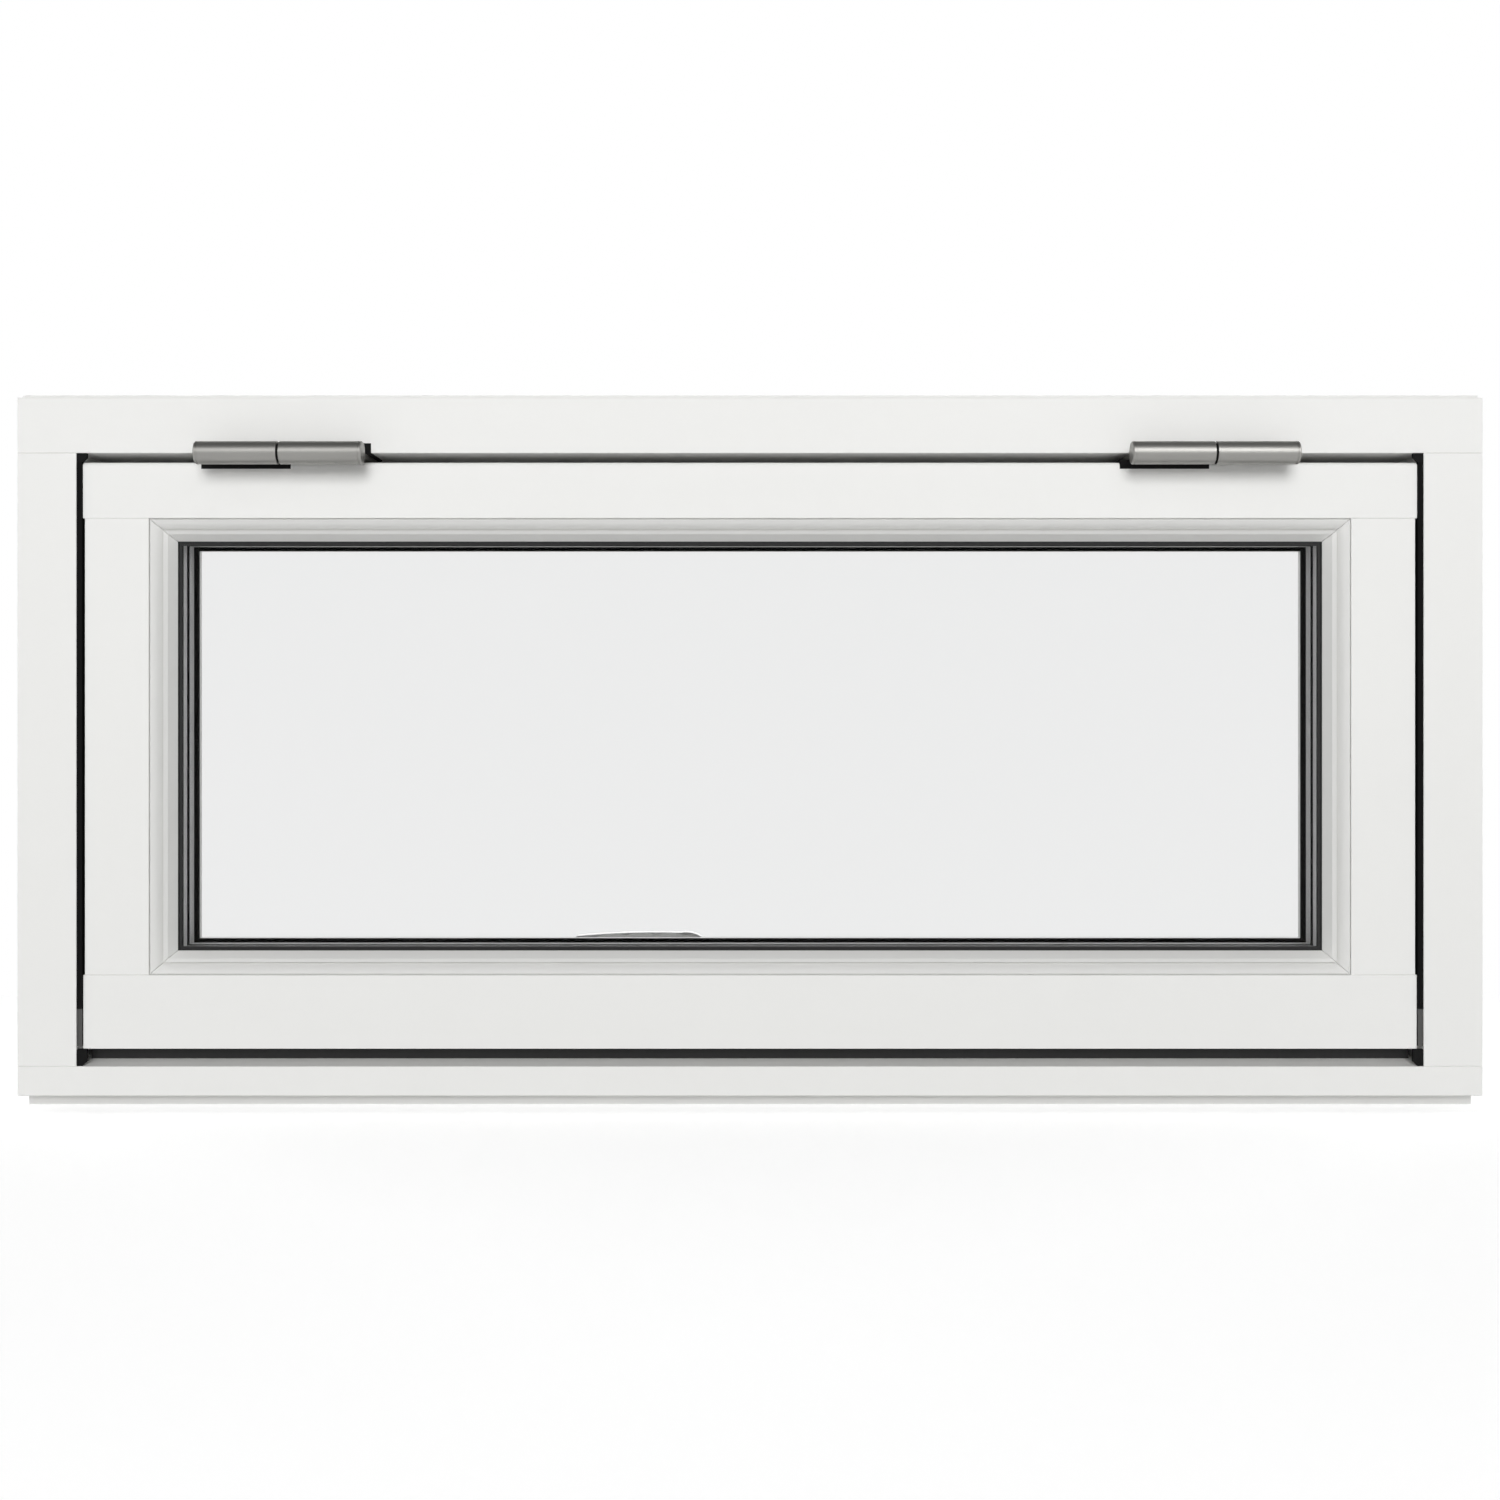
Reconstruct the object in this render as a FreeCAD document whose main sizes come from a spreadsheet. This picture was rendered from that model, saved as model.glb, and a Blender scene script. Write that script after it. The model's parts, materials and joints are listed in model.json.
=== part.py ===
import FreeCAD, Part
import math
import os
import re
import Sketcher

# Driving sizes in millimetres and degrees
sizes = {
    "frame_width": 980,
    "frame_height": 480,
    "frame_depth": 115,
    "jamb_face": 39.4,
    "head_face": 40,
    "head_step_height": 3,
    "head_step_depth": 9,
    "sill_front_height": 29.7,
    "sill_step_height": 10,
    "sill_step_depth": 20,
    "sill_slope": 6,
    "drip_inset": 7,
    "drip_width": 4,
    "drip_depth": 4,
    "stop_overlap": 12,
    "stop_gap": 3,
    "fixing_hole_diameter": 14,
    "fixing_hole_inset": 100,
    "frame_arris": 0.6,
    "sash_recess": 2.5,
    "sash_depth": 62,
    "side_gap": 3.65,
    "top_gap": 5.8,
    "sill_gap": 11.3,
    "rail_overhang": 1.1,
    "top_rail_face": 37.65,
    "bottom_rail_face": 49.5,
    "stile_face": 43.05,
    "sash_arris": 0.6,
    "rail_top_arris": 3.2,
    "lip_round": 1.5,
    "lip_sight": 17.6,
    "bead_depth": 17,
    "bead_sight": 14.1,
    "bead_quirk_width": 0.8,
    "bead_quirk_depth": 2.5,
    "bead_set": 0.6,
    "ovolo_width": 6.7,
    "ovolo_depth": 9.6,
    "ovolo_radius": 18,
    "fillet_rise": 3.6,
    "fillet_width": 2.3,
    "fillet_fall": 2.4,
    "mitre_gap": 0.2,
    "glass_clearance": 3,
    "outer_gasket_thickness": 1.5,
    "outer_gasket_sight": 14.8,
    "inner_gasket_thickness": 1.5,
    "gasket_cover": 4,
    "pane_thickness": 4,
    "cavity": 12,
    "spacer_sight": 15.2,
    "spacer_width": 7,
    "stop_seal_inset": 2,
    "side_seal_set": 1,
    "side_seal_depth": 14,
    "seal_clearance": 0.3,
    "keep_set": 1.5,
    "keep_depth": 35,
    "keep_bottom": 43,
    "keep_height": 25,
    "corner_block_set": 1,
    "corner_block_depth": 3,
    "corner_block_width": 6.6,
    "corner_block_chamfer": 3,
    "sill_seal_set": 18,
    "sill_seal_thickness": 3,
    "hinge_inset": 182.3,
    "hinge_shift": 1.9,
    "hinge_reach": 20,
    "hinge_drop": 2.6,
    "barrel_diameter": 15.2,
    "barrel_length": 110,
    "barrel_chamfer": 0.6,
    "cap_length": 1.8,
    "cap_groove": 0.4,
    "barrel_joint": 1.6,
    "pin_diameter": 8,
    "pin_clearance": 0.05,
    "pin_length": 88,
    "washer_diameter": 12.5,
    "leaf_thickness": 3,
    "leaf_inset": 1.5,
    "leaf_depth": 34,
    "sash_notch_length": 60,
    "sash_notch_depth": 4.5,
    "frame_notch_length": 54.3,
    "frame_notch_depth": 6.5,
    "handle_height": 94.5,
    "rosette_length": 64,
    "rosette_width": 23.6,
    "rosette_thickness": 9,
    "rosette_corner": 10,
    "rosette_round": 2,
    "stub_diameter": 10,
    "stub_clearance": 0.1,
    "grip_standoff": 33,
    "grip_thickness": 13,
    "grip_length": 127,
    "grip_half_height": 12,
    "neck_half_height": 7.5,
    "grip_tip_radius": 3.5,
    "grip_taper": 2.2,
    "grip_crown": 600,
    "grip_round": 2.5,
    "grip_chamfer": 1.8,
    "neck_margin": 4,
    "neck_end": 33,
    "shoulder_end": 50,
    "shoulder_radius": 20,
    "groove_start": 58,
    "groove_pitch": 21,
    "groove_radius": 26,
    "groove_depth": 2,
    "overcut": 1,
}

# Places worked out from the sizes
places = {
    "front": "-frame_depth / 2",
    "back": "frame_depth / 2",
    "half_width": "frame_width / 2",
    "slope_rise": "tan(sill_slope)",
    "sash_front": "front + sash_recess",
    "sash_back": "sash_front + sash_depth",
    "stop_front": "sash_back + stop_gap",
    "jamb_inner": "half_width - jamb_face",
    "sash_half": "jamb_inner - side_gap",
    "jamb_stop": "sash_half - stop_overlap",
    "head_soffit": "frame_height - head_face",
    "sash_top": "head_soffit - top_gap",
    "head_stop": "sash_top - stop_overlap",
    "sash_bottom": "sill_front_height + sill_gap",
    "sill_stop": "sash_bottom + stop_overlap",
    "stop_slope": "sill_front_height + (stop_front - front) * slope_rise",
    "stile_outer": "sash_half - rail_overhang",
    "stile_inner": "stile_outer - stile_face",
    "glaze_top": "sash_top - top_rail_face",
    "glaze_bottom": "sash_bottom + bottom_rail_face",
    "glaze_middle": "(glaze_top + glaze_bottom) / 2",
    "glaze_height": "glaze_top - glaze_bottom",
    "outer_front": "sash_front + bead_depth + outer_gasket_thickness",
    "middle_front": "outer_front + pane_thickness + cavity",
    "inner_front": "middle_front + pane_thickness + cavity",
    "inner_back": "inner_front + pane_thickness",
    "lip_front": "inner_back + inner_gasket_thickness",
    "fixing_line": "(stop_front + back) / 2",
    "seal_face": "jamb_inner - side_gap + seal_clearance",
    "keep_top": "keep_bottom + keep_height",
    "hinge_offset": "half_width - hinge_inset",
    "hinge_line": "front - hinge_reach",
    "hinge_level": "head_soffit - hinge_drop",
    "leaf_end": "sash_front + leaf_depth - hinge_line",
    "knuckle_length": "(barrel_length - barrel_joint) / 2",
}

doc = FreeCAD.newDocument("top_hung_window")
sheet = doc.addObject("Spreadsheet::Sheet", "Sizes")
for row, (alias, number) in enumerate(sizes.items(), 1):
    sheet.set(f"A{row}", alias)
    sheet.set(f"B{row}", str(number))
    sheet.setAlias(f"B{row}", alias)
doc.recompute()

pieces = []
touch = 0.02


def bound(text):
    def swap(found):
        word = found.group()
        if word in places:
            return "(" + bound(places[word]) + ")"
        return "Sizes." + word if word in sizes else word

    return re.sub(r"[a-z][a-z_]*", swap, str(text))


def value(text):
    return float(sheet.evalExpression(bound(text)))


def new_body(name, x="0", y="0", z="0", turn=0):
    body = doc.addObject("PartDesign::Body", name)
    body.Label = name
    body.Placement = FreeCAD.Placement(FreeCAD.Vector(), FreeCAD.Rotation(FreeCAD.Vector(0, 1, 0), turn))
    for axis, text in zip("xyz", (x, y, z)):
        body.setExpression(f".Placement.Base.{axis}", bound(text))
    pieces.append(body)
    return body


def new_sketch(body, name, role, offset="0"):
    sketch = body.newObject("Sketcher::SketchObject", f"{body.Name}_{name}")
    plane = [feature for feature in body.Origin.OriginFeatures if feature.Role == role][0]
    sketch.AttachmentSupport = [(plane, "")]
    sketch.MapMode = "FlatFace"
    sketch.setExpression(".AttachmentOffset.Base.z", bound(offset))
    return sketch


# A closed outline whose corners, and the radius of each arc between them, follow the sheet
def add_outline(sketch, corners):
    first = sketch.GeometryCount
    spots = [FreeCAD.Vector(value(c[0]), value(c[1]), 0) for c in corners]
    ends = []
    for i, corner in enumerate(corners):
        start = spots[i]
        end = spots[(i + 1) % len(spots)]
        if len(corner) == 2:
            sketch.addGeometry(Part.LineSegment(start, end), False)
            ends.append((1, 2))
            continue
        radius = value(corner[2])
        chord = end - start
        side = FreeCAD.Vector(-chord.y, chord.x, 0).normalize() * math.copysign(1, radius)
        inset = math.sqrt(radius * radius - chord.Length * chord.Length / 4)
        middle = (start + end) * 0.5 - side * inset
        turn = [math.atan2(p.y - middle.y, p.x - middle.x) for p in (start, end)]
        forward = radius < 0
        low, high = turn if forward else turn[::-1]
        circle = Part.Circle(middle, FreeCAD.Vector(0, 0, 1), abs(radius))
        sketch.addGeometry(Part.ArcOfCircle(circle, low, high), False)
        ends.append((1, 2) if forward else (2, 1))
    count = len(corners)
    for i in range(count):
        after = (i + 1) % count
        meet = (first + i, ends[i][1], first + after, ends[after][0])
        sketch.addConstraint(Sketcher.Constraint("Coincident", *meet))
    for i, corner in enumerate(corners):
        spot = spots[i]
        for kind, text, number in (("DistanceX", corner[0], spot.x), ("DistanceY", corner[1], spot.y)):
            index = sketch.addConstraint(Sketcher.Constraint(kind, -1, 1, first + i, ends[i][0], number))
            sketch.setExpression(f"Constraints[{index}]", bound(text))
        if len(corner) == 3:
            size = abs(value(corner[2]))
            index = sketch.addConstraint(Sketcher.Constraint("Radius", first + i, size))
            sketch.setExpression(f"Constraints[{index}]", bound(f"abs({corner[2]})"))


def add_circle(sketch, across, up, diameter):
    middle = FreeCAD.Vector(value(across), value(up), 0)
    circle = Part.Circle(middle, FreeCAD.Vector(0, 0, 1), value(diameter) / 2)
    geometry = sketch.addGeometry(circle, False)
    for kind, text, number in (("DistanceX", across, middle.x), ("DistanceY", up, middle.y)):
        index = sketch.addConstraint(Sketcher.Constraint(kind, -1, 1, geometry, 3, number))
        sketch.setExpression(f"Constraints[{index}]", bound(text))
    index = sketch.addConstraint(Sketcher.Constraint("Diameter", geometry, value(diameter)))
    sketch.setExpression(f"Constraints[{index}]", bound(diameter))


def rectangle(left, bottom, right, top):
    return [(left, bottom), (right, bottom), (right, top), (left, top)]


def pad(body, sketch, length, reverse=False, both=False):
    feature = body.newObject("PartDesign::Pad", f"{sketch.Name}_pad")
    feature.Profile = sketch
    feature.setExpression("Length", bound(length))
    feature.Reversed = reverse
    feature.SideType = "Symmetric" if both else "One side"
    doc.recompute()
    return feature


def pocket(body, sketch, length=None, reverse=False):
    before = body.Shape.Volume
    feature = body.newObject("PartDesign::Pocket", f"{sketch.Name}_pocket")
    feature.Profile = sketch
    if length is None:
        feature.Type = "ThroughAll"
        feature.SideType = "Symmetric"
    else:
        feature.setExpression("Length", bound(length))
        feature.Reversed = reverse
    doc.recompute()
    if body.Shape.Volume > before - touch:
        raise RuntimeError(f"{sketch.Name} removes nothing")
    return feature


# Rounds or chamfers the edges whose middle and direction the given test accepts
def dress(body, kind, size, wanted):
    base = body.Tip
    names = []
    for i, edge in enumerate(base.Shape.Edges, 1):
        if wanted(edge):
            names.append(f"Edge{i}")
    if not names:
        raise RuntimeError(f"{body.Name} has no edge to dress")
    feature = body.newObject(f"PartDesign::{kind}", f"{body.Name}_{kind.lower()}_{len(body.Group)}")
    feature.Base = (base, names)
    feature.setExpression("Radius" if kind == "Fillet" else "Size", bound(size))
    doc.recompute()


def along(axis, edge):
    if not isinstance(edge.Curve, Part.Line):
        return False
    direction = edge.Vertexes[-1].Point - edge.Vertexes[0].Point
    return abs(getattr(direction, axis)) > 0.99 * direction.Length


def near(edge, **spot):
    middle = edge.BoundBox.Center
    return all(abs(getattr(middle, axis) - value(text)) < touch for axis, text in spot.items())


def flush(edge, axis, *faces):
    spots = [getattr(end.Point, axis) for end in edge.Vertexes]
    levels = [value(text) for text in faces]
    return any(all(abs(spot - level) < touch for spot in spots) for level in levels)


# Frame head and sill, full width, with the stop behind the sash
head_profile = [
    ("front", "head_soffit"),
    ("stop_front", "head_soffit"),
    ("stop_front", "head_stop"),
    ("back", "head_stop"),
    ("back", "frame_height"),
    ("front + head_step_depth", "frame_height"),
    ("front + head_step_depth", "frame_height - head_step_height"),
    ("front", "frame_height - head_step_height"),
]
head = new_body("frame_head")
sketch = new_sketch(head, "profile", "YZ_Plane")
add_outline(sketch, head_profile)
pad(head, sketch, "frame_width", both=True)
dress(head, "Fillet", "frame_arris", lambda e: flush(e, "y", "front", "back"))

sill_profile = [
    ("front", "sill_step_height"),
    ("front", "sill_front_height"),
    ("stop_front", "stop_slope"),
    ("stop_front", "sill_stop"),
    ("back", "sill_stop"),
    ("back", "0"),
    ("front + sill_step_depth", "0"),
    ("front + sill_step_depth", "sill_step_height"),
    ("front + drip_inset + drip_width", "sill_step_height"),
    ("front + drip_inset + drip_width", "sill_step_height + drip_depth"),
    ("front + drip_inset", "sill_step_height + drip_depth"),
    ("front + drip_inset", "sill_step_height"),
]
sill = new_body("frame_sill")
sketch = new_sketch(sill, "profile", "YZ_Plane")
add_outline(sketch, sill_profile)
pad(sill, sketch, "frame_width", both=True)
dress(sill, "Fillet", "frame_arris", lambda e: flush(e, "y", "front", "back"))

# Outlines that trim a member to the head above it and the sill below it
head_trim = [
    ("front - overcut", "head_soffit"),
    ("stop_front", "head_soffit"),
    ("stop_front", "head_stop"),
    ("back + overcut", "head_stop"),
    ("back + overcut", "frame_height + overcut"),
    ("front - overcut", "frame_height + overcut"),
]
sill_trim = [
    ("front - overcut", "sill_front_height - overcut * slope_rise"),
    ("stop_front", "stop_slope"),
    ("stop_front", "sill_stop"),
    ("back + overcut", "sill_stop"),
    ("back + overcut", "-overcut"),
    ("front - overcut", "-overcut"),
]

# Jambs between head and sill, each with two fixing holes through its stop
for side, sign in (("left", "-1"), ("right", "1")):
    jamb = new_body(f"frame_jamb_{side}")
    sketch = new_sketch(jamb, "profile", "XY_Plane")
    jamb_profile = [
        ("half_width", "front"),
        ("jamb_inner", "front"),
        ("jamb_inner", "stop_front"),
        ("jamb_stop", "stop_front"),
        ("jamb_stop", "back"),
        ("half_width", "back"),
    ]
    add_outline(sketch, [(f"{sign} * ({x})", y) for x, y in jamb_profile])
    pad(jamb, sketch, "frame_height")
    for name, trim in (("head_trim", head_trim), ("sill_trim", sill_trim)):
        sketch = new_sketch(jamb, name, "YZ_Plane")
        add_outline(sketch, trim)
        pocket(jamb, sketch)
    dress(jamb, "Fillet", "frame_arris", lambda e: flush(e, "y", "front", "back"))
    sketch = new_sketch(jamb, "fixings", "YZ_Plane")
    add_circle(sketch, "fixing_line", "fixing_hole_inset", "fixing_hole_diameter")
    add_circle(sketch, "fixing_line", "frame_height - fixing_hole_inset", "fixing_hole_diameter")
    pocket(jamb, sketch)

# Sash rails, full sash width, each with the lip that holds the glass from inside
top_rail_profile = [
    ("sash_front", "glaze_top"),
    ("sash_front", "sash_top"),
    ("sash_back", "sash_top"),
    ("sash_back", "glaze_top - lip_sight"),
    ("lip_front", "glaze_top - lip_sight"),
    ("lip_front", "glaze_top"),
]
bottom_rail_profile = [
    ("sash_front", "glaze_bottom"),
    ("sash_front", "sash_bottom"),
    ("sash_front + drip_inset", "sash_bottom"),
    ("sash_front + drip_inset", "sash_bottom + drip_depth"),
    ("sash_front + drip_inset + drip_width", "sash_bottom + drip_depth"),
    ("sash_front + drip_inset + drip_width", "sash_bottom"),
    ("sash_back", "sash_bottom"),
    ("sash_back", "glaze_bottom + lip_sight"),
    ("lip_front", "glaze_bottom + lip_sight"),
    ("lip_front", "glaze_bottom"),
]
top_rail = new_body("sash_top_rail")
sketch = new_sketch(top_rail, "profile", "YZ_Plane")
add_outline(sketch, top_rail_profile)
pad(top_rail, sketch, "2 * sash_half", both=True)
dress(top_rail, "Fillet", "rail_top_arris", lambda e: along("x", e) and near(e, y="sash_front", z="sash_top"))
dress(top_rail, "Fillet", "sash_arris", lambda e: along("x", e) and near(e, y="sash_front", z="glaze_top"))
top_lip = "glaze_top - lip_sight"
dress(top_rail, "Fillet", "lip_round", lambda e: along("x", e) and near(e, y="sash_back", z=top_lip))
bottom_rail = new_body("sash_bottom_rail")
sketch = new_sketch(bottom_rail, "profile", "YZ_Plane")
add_outline(sketch, bottom_rail_profile)
pad(bottom_rail, sketch, "2 * sash_half", both=True)
dress(bottom_rail, "Fillet", "sash_arris", lambda e: flush(e, "y", "sash_front"))
bottom_lip = "glaze_bottom + lip_sight"
dress(bottom_rail, "Fillet", "lip_round", lambda e: along("x", e) and near(e, y="sash_back", z=bottom_lip))

# Sash stiles between the rails
top_rail_trim = [
    ("sash_front - overcut", "glaze_top"),
    ("lip_front", "glaze_top"),
    ("lip_front", "glaze_top - lip_sight"),
    ("sash_back + overcut", "glaze_top - lip_sight"),
    ("sash_back + overcut", "sash_top + overcut"),
    ("sash_front - overcut", "sash_top + overcut"),
]
bottom_rail_trim = [
    ("sash_front - overcut", "glaze_bottom"),
    ("lip_front", "glaze_bottom"),
    ("lip_front", "glaze_bottom + lip_sight"),
    ("sash_back + overcut", "glaze_bottom + lip_sight"),
    ("sash_back + overcut", "sash_bottom - overcut"),
    ("sash_front - overcut", "sash_bottom - overcut"),
]
for side, sign in (("left", "-1"), ("right", "1")):
    stile = new_body(f"sash_stile_{side}")
    sketch = new_sketch(stile, "profile", "XY_Plane", "sash_bottom")
    stile_profile = [
        ("stile_outer", "sash_front"),
        ("stile_inner", "sash_front"),
        ("stile_inner", "lip_front"),
        ("stile_inner - lip_sight", "lip_front"),
        ("stile_inner - lip_sight", "sash_back"),
        ("stile_outer", "sash_back"),
    ]
    add_outline(sketch, [(f"{sign} * ({x})", y) for x, y in stile_profile])
    pad(stile, sketch, "sash_top - sash_bottom")
    lip_edge = f"{sign} * (stile_inner - lip_sight)"
    dress(stile, "Fillet", "lip_round", lambda e: along("z", e) and near(e, x=lip_edge, y="sash_back"))
    for name, trim in (("top_trim", top_rail_trim), ("bottom_trim", bottom_rail_trim)):
        sketch = new_sketch(stile, name, "YZ_Plane")
        add_outline(sketch, trim)
        pocket(stile, sketch)
    dress(stile, "Fillet", "sash_arris", lambda e: flush(e, "y", "sash_front"))

# Mitred glazing beads, drawn along X with the glass side up and turned into place
bead_profile = [
    ("bead_depth", "0"),
    ("bead_quirk_depth", "0"),
    ("bead_quirk_depth", "bead_quirk_width"),
    ("bead_set", "bead_quirk_width", "ovolo_radius"),
    ("bead_set + ovolo_depth", "bead_quirk_width + ovolo_width"),
    ("bead_set + ovolo_depth - fillet_rise", "bead_quirk_width + ovolo_width"),
    ("bead_set + ovolo_depth - fillet_rise + fillet_fall", "bead_quirk_width + ovolo_width + fillet_width"),
    ("bead_depth", "bead_sight"),
]
bead_places = [
    ("bottom", "2 * stile_inner", "0", "glaze_bottom", 0),
    ("top", "2 * stile_inner", "0", "glaze_top", 180),
    ("left", "glaze_height", "-stile_inner", "glaze_middle", 90),
    ("right", "glaze_height", "stile_inner", "glaze_middle", 270),
]
for side, length, x, z, turn in bead_places:
    bead = new_body(f"glazing_bead_{side}", x, "sash_front", z, turn)
    sketch = new_sketch(bead, "profile", "YZ_Plane")
    add_outline(sketch, bead_profile)
    pad(bead, sketch, length, both=True)
    sketch = new_sketch(bead, "mitres", "XZ_Plane")
    for sign in ("-1", "1"):
        mitre = [
            (f"{sign} * ({length} / 2 + overcut - mitre_gap)", "-overcut"),
            (f"{sign} * ({length} / 2 - bead_sight - overcut - mitre_gap)", "bead_sight + overcut"),
            (f"{sign} * ({length} / 2 + overcut)", "bead_sight + overcut"),
            (f"{sign} * ({length} / 2 + overcut)", "-overcut"),
        ]
        add_outline(sketch, mitre)
    pocket(bead, sketch)


def add_block(name, low, high):
    block = doc.addObject("Part::Box", name)
    block.Label = name
    for prop, start, end in zip(("Length", "Width", "Height"), low, high):
        block.setExpression(prop, bound(f"({end}) - ({start})"))
    for axis, text in zip("xyz", low):
        block.setExpression(f".Placement.Base.{axis}", bound(text))
    pieces.append(block)
    return block


# A flat ring around the opening, lying between two depths
def add_ring(name, near_face, far_face, outer, inner):
    ring = new_body(name, y=near_face)
    sketch = new_sketch(ring, "outline", "XZ_Plane")
    add_outline(sketch, rectangle(*outer))
    add_outline(sketch, rectangle(*inner))
    pad(ring, sketch, f"({far_face}) - ({near_face})", reverse=True)


def sight(inset):
    return (
        f"-(stile_inner - {inset})",
        f"glaze_bottom + {inset}",
        f"stile_inner - {inset}",
        f"glaze_top - {inset}",
    )


# Triple glazed unit with its spacers and glazing gaskets
left, bottom, right, top = sight("glass_clearance")
for name in ("outer", "middle", "inner"):
    face = f"{name}_front"
    add_block(f"{name}_pane", (left, face, bottom), (right, f"{face} + pane_thickness", top))
spacer_outer = sight("(spacer_sight - spacer_width)")
add_ring("outer_spacer", "outer_front + pane_thickness", "middle_front", spacer_outer, sight("spacer_sight"))
add_ring("inner_spacer", "middle_front + pane_thickness", "inner_front", spacer_outer, sight("spacer_sight"))
gasket_outer = sight("gasket_cover")
add_ring("outer_gasket", "sash_front + bead_depth", "outer_front", gasket_outer, sight("outer_gasket_sight"))
add_ring("inner_gasket", "inner_back", "lip_front", gasket_outer, sight("lip_sight"))

# Seal between the sash and the stop all round
stop_seal_outer = (
    "-(sash_half - stop_seal_inset)",
    "sash_bottom + stop_seal_inset",
    "sash_half - stop_seal_inset",
    "sash_top - stop_seal_inset",
)
stop_seal_inner = (
    "-(jamb_stop + stop_seal_inset)",
    "sill_stop - stop_seal_inset",
    "jamb_stop + stop_seal_inset",
    "head_stop + stop_seal_inset",
)
add_ring("stop_gasket", "sash_back", "stop_front", stop_seal_outer, stop_seal_inner)

# Seals, keeps and corner blocks in the gaps beside the sash
for side, sign in (("left", "-1"), ("right", "1")):
    edges = ("-jamb_inner", "-(seal_face)") if side == "left" else ("seal_face", "jamb_inner")
    seal_back = "front + side_seal_set + side_seal_depth"
    add_block(
        f"side_seal_{side}",
        (edges[0], "front + side_seal_set", "keep_top"),
        (edges[1], seal_back, "head_soffit - top_gap"),
    )
    add_block(
        f"keep_{side}",
        (edges[0], "front + keep_set", "keep_bottom"),
        (edges[1], "front + keep_set + keep_depth", "keep_top"),
    )
    top_block = new_body(f"corner_block_top_{side}", y="front + corner_block_set")
    sketch = new_sketch(top_block, "outline", "XZ_Plane")
    top_outline = [
        ("jamb_inner", "sash_top"),
        ("jamb_inner", "head_soffit"),
        ("jamb_inner - corner_block_width", "head_soffit"),
        ("jamb_inner - corner_block_width", "sash_top + corner_block_chamfer"),
        ("jamb_inner - corner_block_width + corner_block_chamfer", "sash_top"),
    ]
    add_outline(sketch, [(f"{sign} * ({x})", z) for x, z in top_outline])
    pad(top_block, sketch, "corner_block_depth", reverse=True)
    low_block = new_body(f"corner_block_bottom_{side}")
    sketch = new_sketch(low_block, "outline", "XZ_Plane", "-(front + corner_block_set)")
    low_edge = "sill_front_height + corner_block_set * slope_rise"
    low_outline = [
        ("jamb_inner", "sill_step_height"),
        ("jamb_inner", "sash_bottom"),
        ("jamb_inner - corner_block_width", "sash_bottom"),
        ("jamb_inner - corner_block_width", f"{low_edge} + corner_block_chamfer"),
        ("jamb_inner - corner_block_width + corner_block_chamfer", low_edge),
        ("jamb_inner - corner_block_width + corner_block_chamfer", "sill_step_height"),
    ]
    add_outline(sketch, [(f"{sign} * ({x})", z) for x, z in low_outline])
    pad(low_block, sketch, "corner_block_depth", reverse=True)
    sketch = new_sketch(low_block, "sill_trim", "YZ_Plane")
    add_outline(sketch, sill_trim)
    pocket(low_block, sketch)

# Upright seal between the sill slope and the bottom rail
sill_seal = new_body("sill_seal")
sketch = new_sketch(sill_seal, "profile", "YZ_Plane")
seal_front = "front + sill_seal_set"
seal_profile = [
    (seal_front, "sill_front_height + sill_seal_set * slope_rise"),
    (seal_front, "sash_bottom"),
    (f"{seal_front} + sill_seal_thickness", "sash_bottom"),
    (
        f"{seal_front} + sill_seal_thickness",
        "sill_front_height + (sill_seal_set + sill_seal_thickness) * slope_rise",
    ),
]
add_outline(sketch, seal_profile)
pad(sill_seal, sketch, "2 * sash_half", both=True)

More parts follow.
